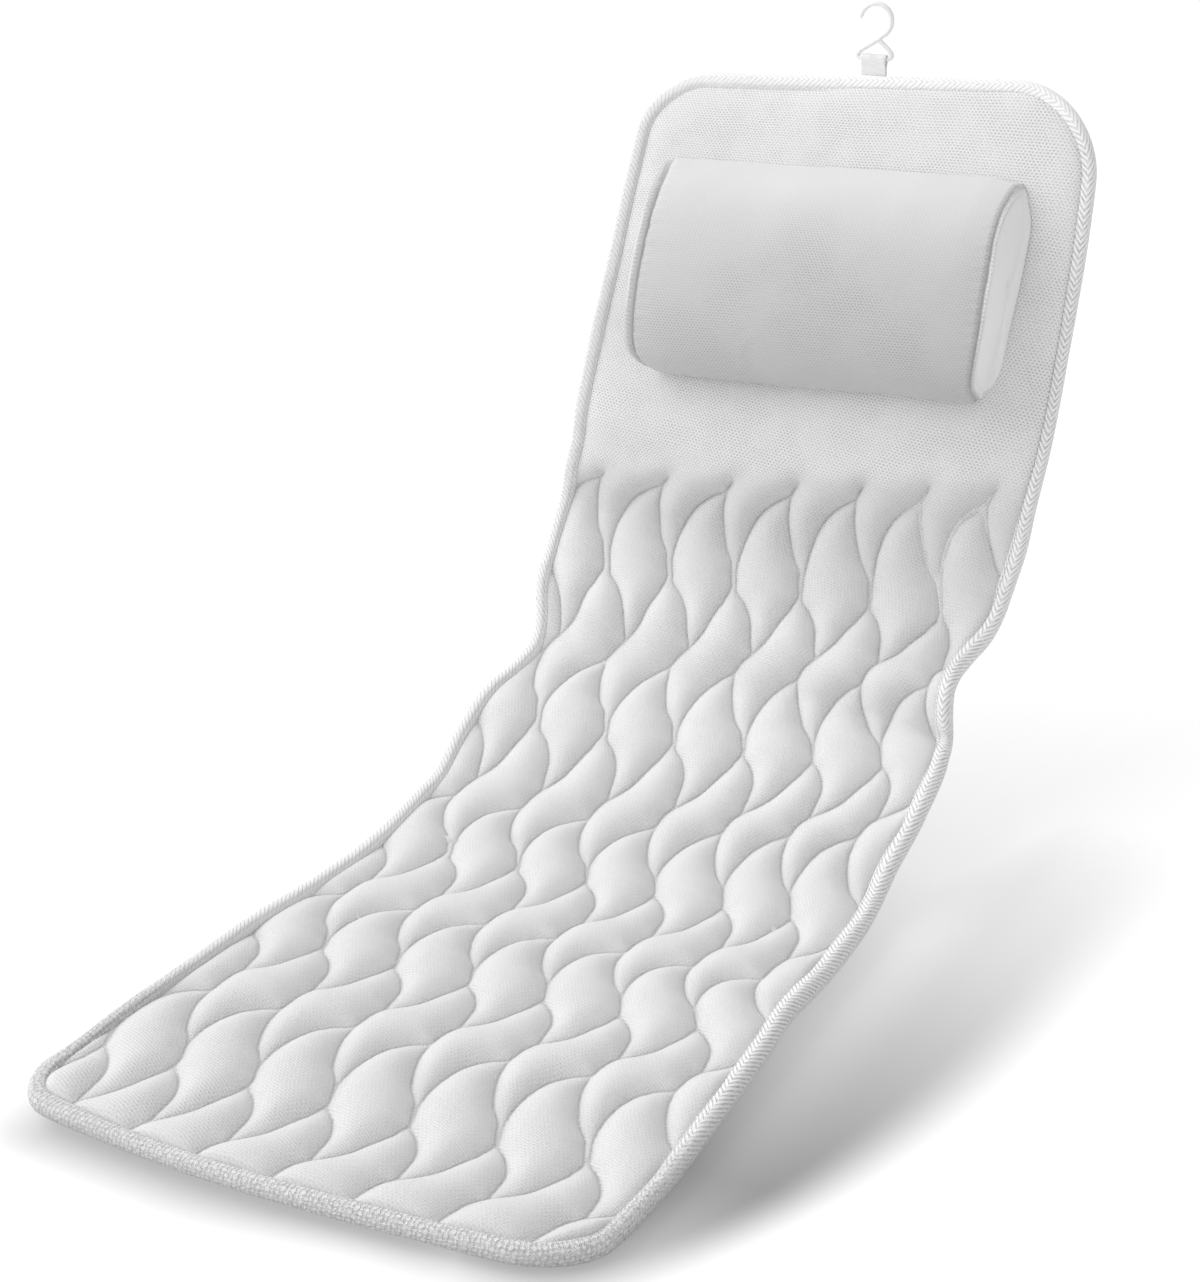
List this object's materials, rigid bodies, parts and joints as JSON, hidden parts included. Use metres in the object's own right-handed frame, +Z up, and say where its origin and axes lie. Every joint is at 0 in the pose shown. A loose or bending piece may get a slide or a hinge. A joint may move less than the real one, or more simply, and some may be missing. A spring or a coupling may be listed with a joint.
{
  "type": "bath pillow",
  "caption": "Full-length quilted bath pillow: a padded mesh mat with taped edge, folding at its quilted lines, with sewn headrest, suction cups behind and a hanging hook.",
  "frame": {"origin": "middle of the footprint, on the tub floor that the suction cups under the leg end stand on", "axes": "+Z up; +X to the right as seen from the foot end, across the mat and along every fold line; +Y from the foot end towards the head end"},
  "size_m": [0.4, 0.865, 0.617],
  "materials": {
    "air_mesh": "open spacer mesh, matt white",
    "headrest_mesh": "fine close mesh, matt white",
    "edge_tape": "herringbone woven tape, white",
    "fibre": "loose white polyester fibre",
    "foam": "soft white fibre core",
    "clear_vinyl": "smooth translucent soft plastic",
    "webbing": "white woven webbing",
    "hook_plastic": "smooth white moulded plastic"
  },
  "bodies": {
    "foot": {"foot_front_cover": "air_mesh", "foot_filling": "fibre", "foot_back_cover": "air_mesh", "foot_edge_tape": "edge_tape", "foot_suction_cup_1": "clear_vinyl", "foot_suction_cup_2": "clear_vinyl", "foot_suction_cup_3": "clear_vinyl", "foot_suction_cup_4": "clear_vinyl"},
    "leg": {"leg_front_cover": "air_mesh", "leg_filling": "fibre", "leg_back_cover": "air_mesh", "leg_left_edge_tape": "edge_tape", "leg_right_edge_tape": "edge_tape", "leg_suction_cup_1": "clear_vinyl", "leg_suction_cup_2": "clear_vinyl", "leg_suction_cup_3": "clear_vinyl", "leg_suction_cup_4": "clear_vinyl"},
    "seat": {"seat_front_cover": "air_mesh", "seat_filling": "fibre", "seat_back_cover": "air_mesh", "seat_left_edge_tape": "edge_tape", "seat_right_edge_tape": "edge_tape"},
    "back": {"back_front_cover": "air_mesh", "back_filling": "fibre", "back_back_cover": "air_mesh", "back_left_edge_tape": "edge_tape", "back_right_edge_tape": "edge_tape"},
    "head": {"head_front_cover": "air_mesh", "head_filling": "fibre", "head_back_cover": "air_mesh", "head_edge_tape": "edge_tape", "head_suction_cup_1": "clear_vinyl", "head_suction_cup_2": "clear_vinyl", "head_suction_cup_3": "clear_vinyl", "head_suction_cup_4": "clear_vinyl", "headrest_front_cover": "headrest_mesh", "headrest_left_gusset": "headrest_mesh", "headrest_right_gusset": "headrest_mesh", "headrest_back_cover": "air_mesh", "headrest_foam": "foam"},
    "loop": {"hanging_loop": "webbing"},
    "hook": {"hanging_hook": "hook_plastic"}
  },
  "joints": [
    {"name": "foot_fold", "type": "hinge", "parent": "leg", "child": "foot", "pos_m": [0, -0.1945, 0.0311], "axis": [-1, 0, 0], "range_deg": [-30, 170]},
    {"name": "leg_fold", "type": "hinge", "parent": "leg", "child": "seat", "pos_m": [0, 0.05685, 0.03658], "axis": [-1, 0, 0], "range_deg": [-100, 50]},
    {"name": "back_fold", "type": "hinge", "parent": "seat", "child": "back", "pos_m": [0, 0.28383, 0.18937], "axis": [1, 0, 0], "range_deg": [-50, 110]},
    {"name": "head_fold", "type": "hinge", "parent": "back", "child": "head", "pos_m": [0, 0.31125, 0.29253], "axis": [-1, 0, 0], "range_deg": [-110, 50]},
    {"name": "loop_swing", "type": "hinge", "parent": "head", "child": "loop", "pos_m": [0.0065, 0.4209, 0.56058], "axis": [1, 0, 0], "range_deg": [-60, 60]},
    {"name": "hook_swing", "type": "hinge", "parent": "loop", "child": "hook", "pos_m": [0.0065, 0.4209, 0.57257], "axis": [-1, 0, 0], "range_deg": [-100, 100]}
  ]
}
